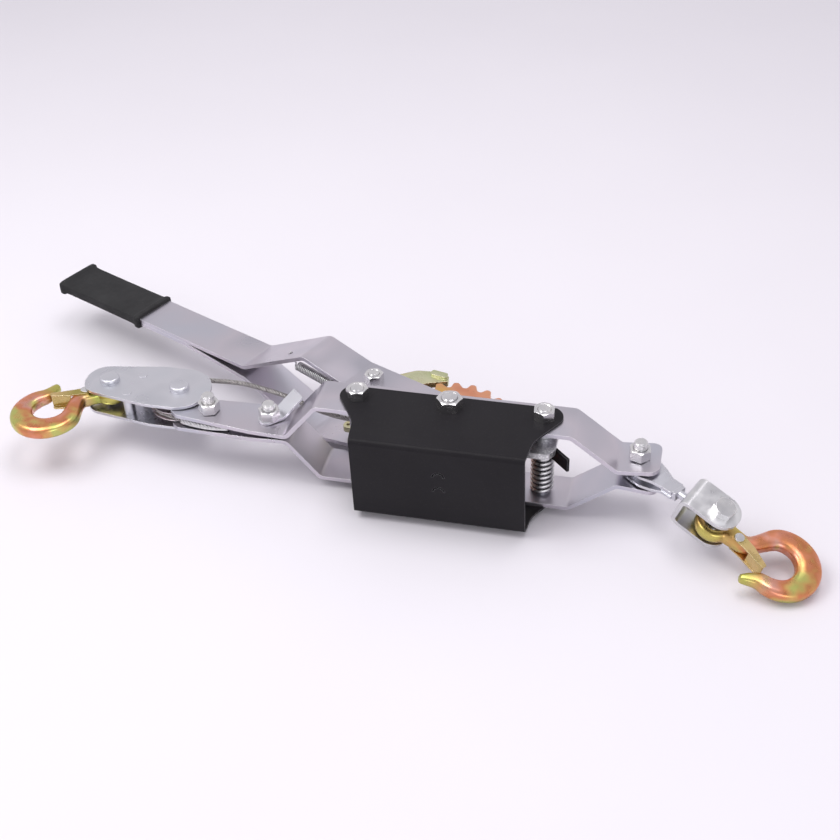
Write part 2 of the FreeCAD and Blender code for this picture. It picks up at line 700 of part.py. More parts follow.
def clevis_axes():
    """The clevis's length and bolt directions."""
    pitch = math.radians(CLEVIS_PITCH)
    along = level(CLEVIS_YAW) * math.cos(pitch) - UP * math.sin(pitch)
    upward = level(CLEVIS_YAW) * math.sin(pitch) + UP * math.cos(pitch)
    roll = FreeCAD.Rotation(along, CLEVIS_ROLL)
    return along, roll.multVec(upward)


def link_place(shape):
    return place(shape, REAR_BOLT, LINK_DIR, UP)


def clevis_place(shape):
    along, upward = clevis_axes()
    return place(shape, WEB_POINT, along, upward)


def rear_hook_place(shape):
    swung = shape.copy()
    swung.rotate(V(0, 0, 0), UP, REAR_HOOK_SWING)
    swung.rotate(V(0, 0, 0), V(0, 1, 0), -REAR_HOOK_ROCK)
    swung.translate(V(CLEVIS_BOLT, 0, -REAR_HOOK_DROP))
    return clevis_place(swung)


def link_body():
    path = [(-20, 4.6), (24, 4.6), (33, 2.8), (45, 2.8)]
    strap = bent_sheet(path, 2.6, 3, -20, 20)
    outline = [(-14.5, -14.5, 14), (14, -14.5, 10), (34, -8, 10), (45, -8, 0), (45, 8, 0), (34, 8, 10),
               (14, 14.5, 10), (-14.5, 14.5, 14)]
    strap = trimmed(strap, outline).cut(cylinder(BOLT_R + FIT, -20, 20))
    save("rear_link_upper", link_place(strap))
    save("rear_link_lower", link_place(mirrored(strap)))
    save("rear_link_spacer", link_place(tube(10, BOLT_R + FIT, -3.3, 3.3)))
    tongue = Part.makeBox(13, 14, 3.0, V(32, -7, -1.5))
    neck = Part.makeCylinder(STEM_R, LINK_LENGTH + SEAT_R + 1 - 45, V(45, 0, 0), V(1, 0, 0))
    collar = Part.makeBox(4, 13, 8.2, V(45, -6.5, -4.1))
    head = Part.makeCylinder(6.5, 3.0, V(LINK_LENGTH + SEAT_R + 0.1, 0, 0), V(1, 0, 0))
    stem = tongue.fuse([collar, neck, head]).removeSplitter()
    save("swivel_stem", link_place(stem))
    ring = Part.makeCylinder(7.4, 3.0, V(LINK_LENGTH + 8.2, 0, 0), V(1, 0, 0))
    front = Part.makeCylinder(SEAT_R, 30, V(LINK_LENGTH, -15, 0), V(0, 1, 0))
    hole = Part.makeCylinder(STEM_R + FIT, 6, V(LINK_LENGTH + 7, 0, 0), V(1, 0, 0))
    save("swivel_washer", link_place(ring.common(front).cut(hole)))


def clevis_body():
    h = CLEVIS_HALF_H
    t = CLEVIS_T
    w = CLEVIS_HALF_W
    reach = CLEVIS_BOLT + w
    path = [(reach, h - t / 2), (t / 2, h - t / 2), (t / 2, -h + t / 2), (reach, -h + t / 2)]
    solid = bent_sheet(path, t, 4, -w, w)
    solid = trimmed(solid, [(-1, -w, 0), (reach, -w, w - 0.1), (reach, w, w - 0.1), (-1, w, 0)])
    solid = solid.cut(Part.makeCylinder(6.4, 10, V(-2, 0, 0), V(1, 0, 0)))
    axis = V(CLEVIS_BOLT, 0, 0)
    solid = solid.cut(cylinder(BOLT_R, -30, 30, axis))
    save("swivel_clevis", clevis_place(solid))
    pin = mirrored(bolt(BOLT_R, 18, -h - HEAD_H - 0.5, -h, h + 11, axis, 22))
    save("clevis_bolt", clevis_place(pin))
    save("clevis_nut", clevis_place(mirrored(nut(18, BOLT_R, h, h + 9, axis, 5))))


# ------------------------------------------------------------------ wire rope

def sheave_point(angle):
    spot = on_circle(SHEAVE, PITCH_R, angle)
    return V(spot.x, spot.y, 0)


def rope_wrap():
    """The stretch round the sheave, with a short straight lead at each end."""
    start = sheave_point(WRAP_START)
    stop = sheave_point(WRAP_END)
    middle = sheave_point((WRAP_START + WRAP_END) / 2)
    lead_start = HAUL_END + (start - HAUL_END).normalize() * LEAD_GAP
    lead_end = FERRULE_START + (stop - FERRULE_START).normalize() * LEAD_GAP
    lead_in = Part.LineSegment(lead_start, start).toShape()
    lead_out = Part.LineSegment(stop, lead_end).toShape()
    path = Part.Wire([lead_in, Part.Arc(start, middle, stop).toShape(), lead_out])
    ring = Part.Wire(Part.makeCircle(ROPE_R, lead_in.Vertexes[0].Point, start - HAUL_END))
    return path.makePipeShell([ring], True, False)


def rope_nodes():
    haul = [V(-18, HAUL_Y, 0), V(-62, 19.6, 0), V(-104, 20.2, 0), V(-131, 27, 0), V(-153, 36.5, 0),
            V(-172, 45, 0), V(-200, 53, 0), V(-230, 58.5, 0), HAUL_END]
    save("rope_haul_run", rope(haul))
    save("rope_sheave_wrap", rope_wrap())
    anchor = V(ANCHOR_X, 0, 0)
    along = FERRULE_END - FERRULE_START
    ferrule = Part.makeCylinder(FERRULE_R, along.Length, FERRULE_START, along)
    save("rope_ferrule", ferrule)
    save("rope_thimble", tube(THIMBLE_R, BOLT_R, -3.4, 3.4, anchor))
    eye = Part.makeTorus(THIMBLE_R + ROPE_R + 0.05, ROPE_R, anchor, UP)
    save("rope_end_eye", eye.cut(ferrule))


def make_all():
    os.makedirs("parts", exist_ok=True)
    frame_body()
    drum_body()
    handle_body()
    drive_pawl_body()
    holding_pawl_body()
    block_body()
    hook_set("front", front_hook_place)
    hook_set("rear", rear_hook_place)
    link_body()
    clevis_body()
    rope_nodes()


make_all()
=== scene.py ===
import json
import math
import bpy
from mathutils import Matrix, Vector


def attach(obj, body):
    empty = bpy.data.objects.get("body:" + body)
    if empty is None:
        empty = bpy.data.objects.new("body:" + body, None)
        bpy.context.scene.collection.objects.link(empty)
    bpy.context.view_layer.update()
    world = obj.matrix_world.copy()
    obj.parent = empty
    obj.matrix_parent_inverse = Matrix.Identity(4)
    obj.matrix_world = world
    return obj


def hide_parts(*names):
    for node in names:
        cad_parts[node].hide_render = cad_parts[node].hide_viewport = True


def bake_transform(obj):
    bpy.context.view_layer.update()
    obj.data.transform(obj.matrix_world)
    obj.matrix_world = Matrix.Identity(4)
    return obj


# Looks for the cable puller, in metres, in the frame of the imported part. Drum axis upright at
# the origin, +X along the frame to the rear hook, the bolt heads resting on Z = 0.

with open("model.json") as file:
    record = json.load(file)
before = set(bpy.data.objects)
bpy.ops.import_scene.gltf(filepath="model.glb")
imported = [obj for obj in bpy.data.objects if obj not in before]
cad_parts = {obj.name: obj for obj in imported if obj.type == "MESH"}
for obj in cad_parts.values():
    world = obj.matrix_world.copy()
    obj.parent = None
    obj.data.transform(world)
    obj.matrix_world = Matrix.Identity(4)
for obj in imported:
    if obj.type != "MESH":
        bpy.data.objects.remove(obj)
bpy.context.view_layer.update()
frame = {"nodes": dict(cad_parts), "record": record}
NODES = frame["nodes"]
RECORD = frame["record"]
JOINTS = {joint["name"]: joint for joint in RECORD["behaviour"]["joints"]}
MM = 0.001
MID_HEIGHT = 52                              # the frame's middle plane, in millimetres
MID = MID_HEIGHT * MM
UP = Vector((0, 0, 1))


def millimetres(x, y, above=0.0):
    """A point given in millimetres, with its height above the frame's middle plane."""
    return Vector((x, y, MID_HEIGHT + above)) * MM


def joint_place(name):
    """A joint's place and its unit axis."""
    joint = JOINTS[name]
    return Vector(joint["pos_m"]), Vector(joint["axis"]).normalized()


# ------------------------------------------------------------------ materials

EDGE_R = 0.5 * MM                            # how far most edges are softened


def set_ramp(ramp, stops):
    """Gives a colour ramp these stops, each a spot from 0 to 1 and a colour."""
    while len(ramp.elements) < len(stops):
        ramp.elements.new(0.5)
    for element, (spot, colour) in zip(ramp.elements, stops):
        element.position = spot
        element.color = (*colour, 1)


class Nodes:
    """A small helper that adds and links shader nodes."""

    def __init__(self, name):
        self.material = bpy.data.materials.new(name)
        self.material.use_nodes = True
        self.tree = self.material.node_tree
        self.shader = self.tree.nodes["Principled BSDF"]
        coordinates = self.add("ShaderNodeTexCoord")
        self.place = coordinates.outputs["Object"]

    def add(self, kind, **values):
        node = self.tree.nodes.new(kind)
        for key, value in values.items():
            setattr(node, key, value)
        return node

    def link(self, source, target):
        self.tree.links.new(source, target)

    def noise(self, scale, detail=3.0, rough=0.55):
        node = self.add("ShaderNodeTexNoise")
        node.inputs["Scale"].default_value = scale
        node.inputs["Detail"].default_value = detail
        node.inputs["Roughness"].default_value = rough
        self.link(self.place, node.inputs["Vector"])
        return node.outputs["Fac"]

    def ramp(self, source, stops):
        node = self.add("ShaderNodeValToRGB")
        set_ramp(node.color_ramp, stops)
        self.link(source, node.inputs["Fac"])
        return node.outputs["Color"]

    def span(self, source, low, high, start=0.3, stop=0.7):
        """Maps start to stop of the source onto low to high."""
        node = self.add("ShaderNodeMapRange")
        node.inputs["From Min"].default_value = start
        node.inputs["From Max"].default_value = stop
        node.inputs["To Min"].default_value = low
        node.inputs["To Max"].default_value = high
        self.link(source, node.inputs["Value"])
        return node.outputs["Result"]

    def mix(self, share, first, second):
        """The first colour where share is 0 and the second where it is 1."""
        node = self.add("ShaderNodeMix", data_type="RGBA")
        self.link(share, node.inputs[0])
        for socket, value in ((6, first), (7, second)):          # the node's colour sockets
            if isinstance(value, tuple):
                node.inputs[socket].default_value = (*value, 1)
            else:
                self.link(value, node.inputs[socket])
        return node.outputs[2]

    def soft_edges(self, radius):
        """Rounds sharp sheet and machined edges in the shading; returns the node's normal."""
        node = self.add("ShaderNodeBevel", samples=4)
        node.inputs["Radius"].default_value = radius
        return node.outputs["Normal"]

    def edge_wear_and_highlight(self, soft):
        """1 on the edges and 0 elsewhere, from how far the softened normal turns; the lighter
        colour mixed in there is partly rubbed wear and partly a painted highlight.
        """
        geometry = self.add("ShaderNodeNewGeometry")
        dot = self.add("ShaderNodeVectorMath", operation="DOT_PRODUCT")
        self.link(soft, dot.inputs[0])
        self.link(geometry.outputs["Normal"], dot.inputs[1])
        return self.span(dot.outputs["Value"], 1.0, 0.0, 0.86, 0.995)

    def bump(self, height, distance, strength, normal=None):
        node = self.add("ShaderNodeBump")
        node.inputs["Distance"].default_value = distance
        node.inputs["Strength"].default_value = strength
        self.link(height, node.inputs["Height"])
        if normal is not None:
            self.link(normal, node.inputs["Normal"])
        self.link(node.outputs["Normal"], self.shader.inputs["Normal"])

    def crevices(self, reach):
        """The mask for painted shade: 0 deep between neighbouring pieces and 1 in the open."""
        node = self.add("ShaderNodeAmbientOcclusion", samples=6)
        node.inputs["Distance"].default_value = reach
        return node.outputs["AO"]

    def colour(self, source):
        self.link(source, self.shader.inputs["Base Color"])

    def roughness(self, source):
        self.link(source, self.shader.inputs["Roughness"])

    def metal(self, amount):
        self.shader.inputs["Metallic"].default_value = amount


def plated(name, tints, low, high, blotch=22.0, grain=900.0, soften=0.5,
           worn_and_lit_edge=(0.9, 0.89, 0.91)):
    """Plated metal: softly drifting tints, fine grain and brighter edges, partly rubbed wear and
    partly a painted highlight.

    low and high bound the roughness, and soften is the edges' radius in millimetres.
    """
    n = Nodes(name)
    n.metal(1.0)
    stops = [(0.32 + 0.36 * i / max(1, len(tints) - 1), tint) for i, tint in enumerate(tints)]
    base = n.ramp(n.noise(blotch, 2.0), stops)
    soft = n.soft_edges(soften * MM)
    # the near-white edge colour is partly rubbed wear and partly a painted highlight
    n.colour(n.mix(n.edge_wear_and_highlight(soft), base, worn_and_lit_edge))
    n.roughness(n.span(n.noise(blotch * 2, 3.0), low, high))
    n.bump(n.noise(grain, 3.0), 0.03 * MM, 0.25, soft)
    return n.material


def strip_zinc():
    return plated("strip_zinc", [(0.50, 0.49, 0.54), (0.60, 0.56, 0.61), (0.54, 0.54, 0.60)],
                  0.26, 0.40, 10.0)


def bright_zinc():
    return plated("bright_zinc", [(0.66, 0.66, 0.67), (0.76, 0.75, 0.74)],
                  0.14, 0.30, 60.0, 1400.0, 0.4)


def clevis_zinc():
    return plated("clevis_zinc", [(0.60, 0.60, 0.61), (0.70, 0.70, 0.70)],
                  0.26, 0.44, 45.0, 700.0, 0.8)


def block_zinc():
    return plated("block_zinc", [(0.58, 0.59, 0.63), (0.66, 0.66, 0.70), (0.61, 0.62, 0.66)],
                  0.24, 0.38, 16.0)


def sheave_steel():
    return plated("sheave_steel", [(0.62, 0.53, 0.55), (0.74, 0.64, 0.65)], 0.22, 0.36, 40.0)


def galvanised():
    """Speckled zinc, with pale spangles in a grey ground."""
    n = Nodes("pawl_galvanised")
    n.metal(1.0)
    cells = n.add("ShaderNodeTexVoronoi")
    cells.inputs["Scale"].default_value = 420.0
    n.link(n.place, cells.inputs["Vector"])
    speckle = n.ramp(cells.outputs["Distance"],
                     [(0.15, (0.86, 0.86, 0.85)), (0.6, (0.50, 0.50, 0.51))])
    n.colour(n.mix(n.span(n.noise(60.0), 0.0, 0.6), speckle, (0.68, 0.68, 0.68)))
    n.roughness(n.span(n.noise(500.0), 0.3, 0.5))
    n.bump(n.noise(1100.0), 0.06 * MM, 0.5, n.soft_edges(EDGE_R))
    return n.material


def chromate(name, stops, low=0.2, high=0.38, blush=None):
    """Yellow chromate over zinc, flecked with brown.

    blush is a second ramp of colours, shown where the mesh's "blush" attribute is 1.
    """
    n = Nodes(name)
    n.metal(1.0)
    base = n.ramp(n.noise(26.0, 2.5, 0.5), stops)
    if blush:
        worked = n.add("ShaderNodeAttribute", attribute_name="blush").outputs["Fac"]
        base = n.mix(worked, base, n.ramp(n.noise(34.0, 2.5), blush))
    flecks = n.span(n.noise(300.0, 3.0), 0.0, 0.2, 0.60, 0.72)
    base = n.mix(flecks, base, (0.34, 0.20, 0.10))
    soft = n.soft_edges(EDGE_R)
    # the pale gold edge colour is partly rubbed wear and partly a painted highlight
    base = n.mix(n.edge_wear_and_highlight(soft), base, (0.86, 0.76, 0.55))
    n.colour(base)
    n.roughness(n.span(n.noise(90.0, 4.0), low, high))
    n.bump(n.noise(500.0, 5.0), 0.08 * MM, 0.4, soft)
    return n.material


def hook_chromate():
    """Yellow-green at the eye and the point, salmon and orange round the bowl."""
    eye = [(0.35, (0.42, 0.45, 0.11)), (0.50, (0.56, 0.50, 0.14)), (0.65, (0.60, 0.38, 0.14))]
    bowl = [(0.34, (0.52, 0.52, 0.16)), (0.42, (0.66, 0.42, 0.15)), (0.49, (0.64, 0.25, 0.11)),
            (0.56, (0.70, 0.28, 0.17)), (0.63, (0.70, 0.36, 0.28)), (0.72, (0.60, 0.56, 0.18))]
    return chromate("hook_chromate", eye, 0.22, 0.40, bowl)


def latch_chromate():
    return chromate("latch_chromate", [
        (0.30, (0.42, 0.36, 0.10)), (0.50, (0.66, 0.48, 0.22)), (0.70, (0.50, 0.44, 0.15))])


def pawl_chromate():
    return chromate("pawl_chromate", [
        (0.30, (0.46, 0.52, 0.26)), (0.50, (0.66, 0.66, 0.44)), (0.70, (0.62, 0.50, 0.24))])


def wheel_chromate():
    return chromate("wheel_chromate", [
        (0.30, (0.66, 0.22, 0.12)), (0.50, (0.76, 0.36, 0.22)), (0.70, (0.72, 0.44, 0.14))],
        0.28, 0.45)


def bronze():
    return plated("bush_bronze", [(0.42, 0.28, 0.13), (0.55, 0.38, 0.18)],
                  0.3, 0.5, 40.0, 700.0, 0.3, (0.7, 0.52, 0.28))


def drawn_wire(name, tints, crevice_shade, reach):
    """Bright drawn wire with near-black painted shade where the turns or strands lie close
    together.
    """
    n = Nodes(name)
    n.metal(0.95)
    bare = n.ramp(n.noise(200.0, 3.0), [(0.3, tints[0]), (0.7, tints[1])])
    # painted shade: the near-black colour is mixed in where the occlusion mask finds neighbouring
    # wire close by
    n.colour(n.mix(n.span(n.crevices(reach), 0.0, 1.0, 0.35, 0.85), crevice_shade, bare))
    n.roughness(n.span(n.noise(300.0), 0.22, 0.42))
    n.bump(n.noise(2200.0), 0.02 * MM, 0.3)
    return n.material


def spring_wire():
    # the near-black third colour is painted shade between the coil's turns
    return drawn_wire("spring_wire", [(0.58, 0.58, 0.59), (0.74, 0.74, 0.74)],
                      (0.03, 0.03, 0.03), 3 * MM)


def dark_wire():
    return plated("dark_wire", [(0.34, 0.34, 0.35), (0.46, 0.46, 0.46)],
                  0.2, 0.36, 120.0, 1500.0, 0.1)


def rope_wire():
    # the near-black third colour is painted shade between the strands
    return drawn_wire("rope_wire", [(0.32, 0.30, 0.30), (0.48, 0.46, 0.45)],
                      (0.03, 0.028, 0.026), 1.2 * MM)


def black_paint():
    """Satin black paint: slight orange peel, fine dust and pale edges, partly rubbed wear and
    partly a painted highlight along the edges and bends.
    """
    n = Nodes("black_paint")
    ground = n.ramp(n.noise(18.0, 3.0),
                    [(0.3, (0.008, 0.007, 0.009)), (0.7, (0.012, 0.011, 0.013))])
    dust = n.span(n.noise(800.0, 4.0), 0.0, 0.06, 0.60, 0.72)
    ground = n.mix(dust, ground, (0.16, 0.15, 0.16))
    n.shader.inputs["Specular IOR Level"].default_value = 0.16
    soft = n.soft_edges(EDGE_R)
    # the pale grey edge colour is partly rubbed paint and partly a painted highlight along the
    # bends
    n.colour(n.mix(n.edge_wear_and_highlight(soft), ground, (0.20, 0.20, 0.21)))
    n.roughness(n.span(n.noise(35.0, 4.0), 0.36, 0.50))
    n.bump(n.noise(600.0, 3.0), 0.05 * MM, 0.3, soft)
    return n.material


def grip_rubber():
    """Matte rubber with a faint moulded grain and scuffed lips."""
    n = Nodes("grip_rubber")
    ground = n.ramp(n.noise(30.0, 4.0),
                    [(0.3, (0.012, 0.012, 0.013)), (0.7, (0.020, 0.020, 0.021))])
    scuff = n.span(n.noise(240.0, 6.0), 0.0, 0.2, 0.60, 0.75)
    n.colour(n.mix(scuff, ground, (0.07, 0.07, 0.07)))
    n.shader.inputs["Specular IOR Level"].default_value = 0.3
    n.roughness(n.span(n.noise(120.0, 4.0), 0.62, 0.8))
    n.bump(n.noise(1300.0, 3.0), 0.12 * MM, 0.5)
    return n.material


MATERIALS = {
    "strip_zinc": strip_zinc(),
    "black_cover": black_paint(),
    "fastener_zinc": bright_zinc(),
    "block_zinc": block_zinc(),
    "clevis_zinc": clevis_zinc(),
    "sheave_steel": sheave_steel(),
    "pawl_galvanised": galvanised(),
    "hook_chromate": hook_chromate(),
    "latch_chromate": latch_chromate(),
    "pawl_chromate": pawl_chromate(),
    "wheel_chromate": wheel_chromate(),
    "bush_bronze": bronze(),
    "spring_steel": spring_wire(),
    "dark_wire": dark_wire(),
    "wire_rope": rope_wire(),
    "grip_rubber": grip_rubber(),
}
SHARED = {                                   # slots that look like another slot
    "tube_zinc": "block_zinc",
    "strap_zinc": "block_zinc",
    "link_zinc": "block_zinc",
    "ferrule_zinc": "fastener_zinc",
    "latch_rivet": "fastener_zinc",
    "release_black": "black_cover",
}


def finish_nodes():
    """Gives every CAD node the material of its slot."""
    for part in RECORD["subparts"]:
        slot = part["material_slot"]
        material = MATERIALS[SHARED.get(slot, slot)]
        node = NODES[part["node"]]
        if not node.material_slots:
            node.data.materials.append(material)
        for holder in node.material_slots:
            holder.material = material


# --------------------------------------------------------------- mesh helpers

def add_mesh(name, points, faces, material, smooth=True):
    mesh = bpy.data.meshes.new(name)
    mesh.from_pydata([tuple(p) for p in points], [], faces)
    mesh.validate()
    mesh.polygons.foreach_set("use_smooth", [smooth] * len(mesh.polygons))
    mesh.materials.append(material)
    piece = bpy.data.objects.new(name, mesh)
    bpy.context.collection.objects.link(piece)
    return piece


def ring_faces(rings, around, closed=False):
    """Quads between rings of points, with flat ends unless the loop is closed."""
    faces = []
    for i in range(rings if closed else rings - 1):
        a = i * around
        b = ((i + 1) % rings) * around
        for j in range(around):
            k = (j + 1) % around
            faces.append((a + j, a + k, b + k, b + j))
    if not closed:
        faces.append(tuple(reversed(range(around))))
        faces.append(tuple((rings - 1) * around + j for j in range(around)))
    return faces


def superellipse(half_w, half_h, power, count):
    """A ring of (x, y) points; the higher the power, the squarer the corners."""
    ring = []
    for i in range(count):
        angle = 2 * math.pi * i / count
        c = math.cos(angle)
        s = math.sin(angle)
        x = math.copysign(abs(c) ** (2 / power), c) * half_w
        y = math.copysign(abs(s) ** (2 / power), s) * half_h
        ring.append((x, y))
    return ring


def frames_along(points):
    """Tangent and two side directions at each point, turning as little as they can."""
    result = []
    side = None
    for i, point in enumerate(points):
        tangent = (points[min(i + 1, len(points) - 1)] - points[max(i - 1, 0)]).normalized()
        if side is None:
            side = tangent.cross(UP if abs(tangent.z) < 0.9 else Vector((1, 0, 0)))
        side = (side - tangent * side.dot(tangent)).normalized()
        result.append((tangent, side, tangent.cross(side)))
    return result


def beside(point, side, other, radius, angle):
    """A point at this radius and angle in the plane of two directions."""
    return point + side * (radius * math.cos(angle)) + other * (radius * math.sin(angle))


def tube(points, radius, around):
    """A round bar along the points, as (points, faces)."""
    skin = [beside(point, side, other, radius, 2 * math.pi * j / around)
            for point, (_, side, other) in zip(points, frames_along(points))
            for j in range(around)]
    return skin, ring_faces(len(points), around)


def wire(name, points, radius, material, around):
    return add_mesh(name, *tube(points, radius, around), material)


def joined(name, parts, material):
    """One mesh of several (points, faces) parts."""
    points = []
    faces = []
    for part_points, part_faces in parts:
        start = len(points)
        points.extend(part_points)
        faces.extend(tuple(start + i for i in face) for face in part_faces)
    return add_mesh(name, points, faces, material)


def apply_modifiers(piece):
    """Makes the piece's modifiers part of its mesh."""
    graph = bpy.context.evaluated_depsgraph_get()
    mesh = bpy.data.meshes.new_from_object(piece.evaluated_get(graph))
    piece.modifiers.clear()
    piece.data = mesh
    mesh.polygons.foreach_set("use_smooth", [True] * len(mesh.polygons))


def arc(centre, radius, start, stop, count):
    """Points on a level arc; angles in degrees."""
    out = []
    for i in range(count + 1):
        angle = math.radians(start + (stop - start) * i / count)
        out.append(centre + Vector((radius * math.cos(angle), radius * math.sin(angle), 0)))
    return out


# ------------------------------------------------------------------ wire rope

ROPE_R = 2.5 * MM
LAY = 23 * MM                                # one full turn of a strand
STRANDS = 6
STRAND_SHARE = 0.36                          # a strand's radius over the rope's
WIRE_SHARE = 0.40                            # a wire's radius over its strand's
CORE_SHARE = 0.4                             # the core's radius over the rope's
CORE_SIDES = 6
WIRE_TWIST = 1.6                             # a wire's turns to one of its strand, the other way
ROPE_STEP = 1.1 * MM


def smooth_route(name, points):
    """Even points along the NURBS curve that the route's points control."""
    curve = bpy.data.curves.new(name, "CURVE")
    curve.dimensions = "3D"
    curve.resolution_u = 24
    spline = curve.splines.new("NURBS")
    spline.points.add(len(points) - 1)
    for knot, point in zip(spline.points, points):
        knot.co = (*point, 1)
    spline.order_u = 3
    spline.use_endpoint_u = True
    guide = bpy.data.objects.new(name, curve)
    bpy.context.collection.objects.link(guide)
    graph = bpy.context.evaluated_depsgraph_get()
    mesh = bpy.data.meshes.new_from_object(guide.evaluated_get(graph))
    line = [vertex.co.copy() for vertex in mesh.vertices]
    bpy.data.objects.remove(guide)
    bpy.data.meshes.remove(mesh)
    return line


def resample(line, step):
    """Points evenly along the line, about one step apart."""
    lengths = [0.0]
    for a, b in zip(line, line[1:]):
        lengths.append(lengths[-1] + (b - a).length)
    count = max(2, int(lengths[-1] / step))
    out = []
    k = 0
    for i in range(count + 1):
        want = lengths[-1] * i / count
        while k < len(lengths) - 2 and lengths[k + 1] < want:
            k += 1
        share = (want - lengths[k]) / max(1e-9, lengths[k + 1] - lengths[k])
        out.append(line[k].lerp(line[k + 1], min(1.0, share)))
    return out


def strands(line, step, wires=5, around=5):
    """The rope's strands, each a bundle of twisted wires, as (points, faces) parts."""
    points = resample(line, step)
    axes = frames_along(points)
    strand_r = ROPE_R * STRAND_SHARE
    strand_at = ROPE_R - strand_r
    wire_r = strand_r * WIRE_SHARE if wires > 1 else strand_r
    wire_at = strand_r - wire_r
    parts = []
    for s in range(STRANDS):
        for w in range(wires):
            path = []
            run = 0.0
            for i, (point, (_, side, other)) in enumerate(zip(points, axes)):
                if i:
                    run += (point - points[i - 1]).length
                turn = 2 * math.pi * (run / LAY + s / STRANDS)
                out = side * math.cos(turn) + other * math.sin(turn)
                across = -side * math.sin(turn) + other * math.cos(turn)
                own = 2 * math.pi * (w / wires - WIRE_TWIST * run / LAY)
                spot = point + out * strand_at
                if wires > 1:
                    spot += (out * math.cos(own) + across * math.sin(own)) * wire_at
                path.append(spot)
            parts.append(tube(path, wire_r, around))
    parts.append(tube(points, ROPE_R * CORE_SHARE, CORE_SIDES))
    return parts


SHEAVE_AT, _ = joint_place("sheave_spin")
PITCH_R = 26 * MM
WRAP_START = 110                             # degrees round the sheave
WRAP_END = 253.7
WRAP_STEPS = 40
HAUL = [(-18, 20), (-62, 19.6), (-104, 20.2), (-131, 27), (-153, 36.5), (-172, 45), (-200, 53),
        (-230, 58.5), (-258, 55)]
SPLICE = [(-259, -8.9), (-249, -11.7), (-238, -13.9), (-225, -14.8), (-212, -13.6)]
SPLICE_START = millimetres(*SPLICE[0])
SPLICE_STEP = 0.8 * MM
SPLICE_LAY = 26 * MM
SPLICE_STRANDS = 7
SPLICE_STRAND_R = 1.25 * MM
SPLICE_CORE_R = 1.6 * MM
SPLICE_R = 2.85                              # out to the strands' middles, in millimetres
SPLICE_TAPER = 1.25                          # less than that at the far end
LEAD_REACH = 1.15                            # the lead runs on into the splice
ANCHOR = millimetres(-234, 0)
EYE_R = 10.5 * MM
EYE_SWEEP = (-100, 222)                      # degrees round the anchor bolt
EYE_FROM = (-247, -11.6)                     # inside the splice
EYE_STEP = 0.9 * MM
EYE_STEPS = 72


def haul_rope():
    """From the drum to the sheave."""
    route = [Vector((x * MM, y * MM, MID)) for x, y in HAUL]
    line = smooth_route("haul_guide", route)
    line.append(arc(SHEAVE_AT, PITCH_R, WRAP_START, WRAP_START + 1, 1)[0])
    piece = joined("haul_rope", strands(line, ROPE_STEP), MATERIALS["wire_rope"])
    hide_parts("rope_haul_run")
    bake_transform(piece)


def sheave_rope():
    """Round the sheave, then the short lead to the splice."""
    bend = arc(SHEAVE_AT, PITCH_R, WRAP_START, WRAP_END, WRAP_STEPS)
    piece = joined("sheave_rope", strands(bend, ROPE_STEP), MATERIALS["wire_rope"])
    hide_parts("rope_sheave_wrap")
    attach(piece, "pulley_block")
    lead = [bend[-1], bend[-1].lerp(SPLICE_START, LEAD_REACH)]
    tail = joined("standing_rope", strands(lead, ROPE_STEP), MATERIALS["wire_rope"])
    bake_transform(tail)


def end_eye():
    """The rope's end turned round a thimble on the anchor bolt, out of the splice and back."""
    line = [millimetres(*EYE_FROM)] + arc(ANCHOR, EYE_R, *EYE_SWEEP, EYE_STEPS)
    piece = joined("end_eye", strands(line, EYE_STEP), MATERIALS["wire_rope"])
    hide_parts("rope_end_eye")
    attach(piece, "frame")


def splice():
    """The splice: a thick twist of strands that tapers away past the anchor bolt."""
    route = [millimetres(x, y) for x, y in SPLICE]
    line = resample(smooth_route("splice_guide", route), SPLICE_STEP)
    axes = frames_along(line)
    parts = [tube(line, SPLICE_CORE_R, 10)]
    for s in range(SPLICE_STRANDS):
        path = []
        for i, (point, (_, side, other)) in enumerate(zip(line, axes)):
            out = (SPLICE_R - SPLICE_TAPER * i / (len(line) - 1)) * MM
            turn = 2 * math.pi * (i * SPLICE_STEP / SPLICE_LAY + s / SPLICE_STRANDS)
            path.append(beside(point, side, other, out, turn))
        parts.append(tube(path, SPLICE_STRAND_R, 12))
    piece = joined("rope_splice", parts, MATERIALS["spring_steel"])
    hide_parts("rope_ferrule")
    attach(piece, "frame")


WINDING_WIDTH = 43 * MM
LAYER_R = (17.2 * MM, 20.0 * MM)             # the two layers' middles
LAYER_TURNS = 8
WINDING_STEP = 2.2 * MM


def winding():
    """Two layers of rope on the drum: a full one, and one that stops past halfway down."""
    line = []
    inner_r, outer_r = LAYER_R
    per_turn = 36
    height = WINDING_WIDTH - 2 * ROPE_R
    count = LAYER_TURNS * per_turn
    for i in range(count + 1):
        angle = 2 * math.pi * i / per_turn
        z = MID - height / 2 + height * i / count
        line.append(Vector((inner_r * math.cos(angle), inner_r * math.sin(angle), z)))
    for i in range(count // 2 + per_turn // 4):
        angle = 2 * math.pi * i / per_turn
        z = MID + height / 2 - height * i / count
        line.append(Vector((outer_r * math.cos(angle), outer_r * math.sin(angle), z)))
    piece = joined("drum_winding", strands(line, WINDING_STEP, 1, 7), MATERIALS["wire_rope"])
    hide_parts("rope_winding")
    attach(piece, "drum")


# -------------------------------------------------------------------- springs

def helix(start, stop, radius, turns, per_turn):
    """Points on a coil from start to stop."""
    axis = (stop - start).normalized()
    side = axis.cross(UP if abs(axis.z) < 0.9 else Vector((1, 0, 0))).normalized()
    other = axis.cross(side)
    out = []
    count = int(turns * per_turn)
    for i in range(count + 1):
        angle = 2 * math.pi * i / per_turn
        out.append(beside(start.lerp(stop, i / count), side, other, radius, angle))
    return out


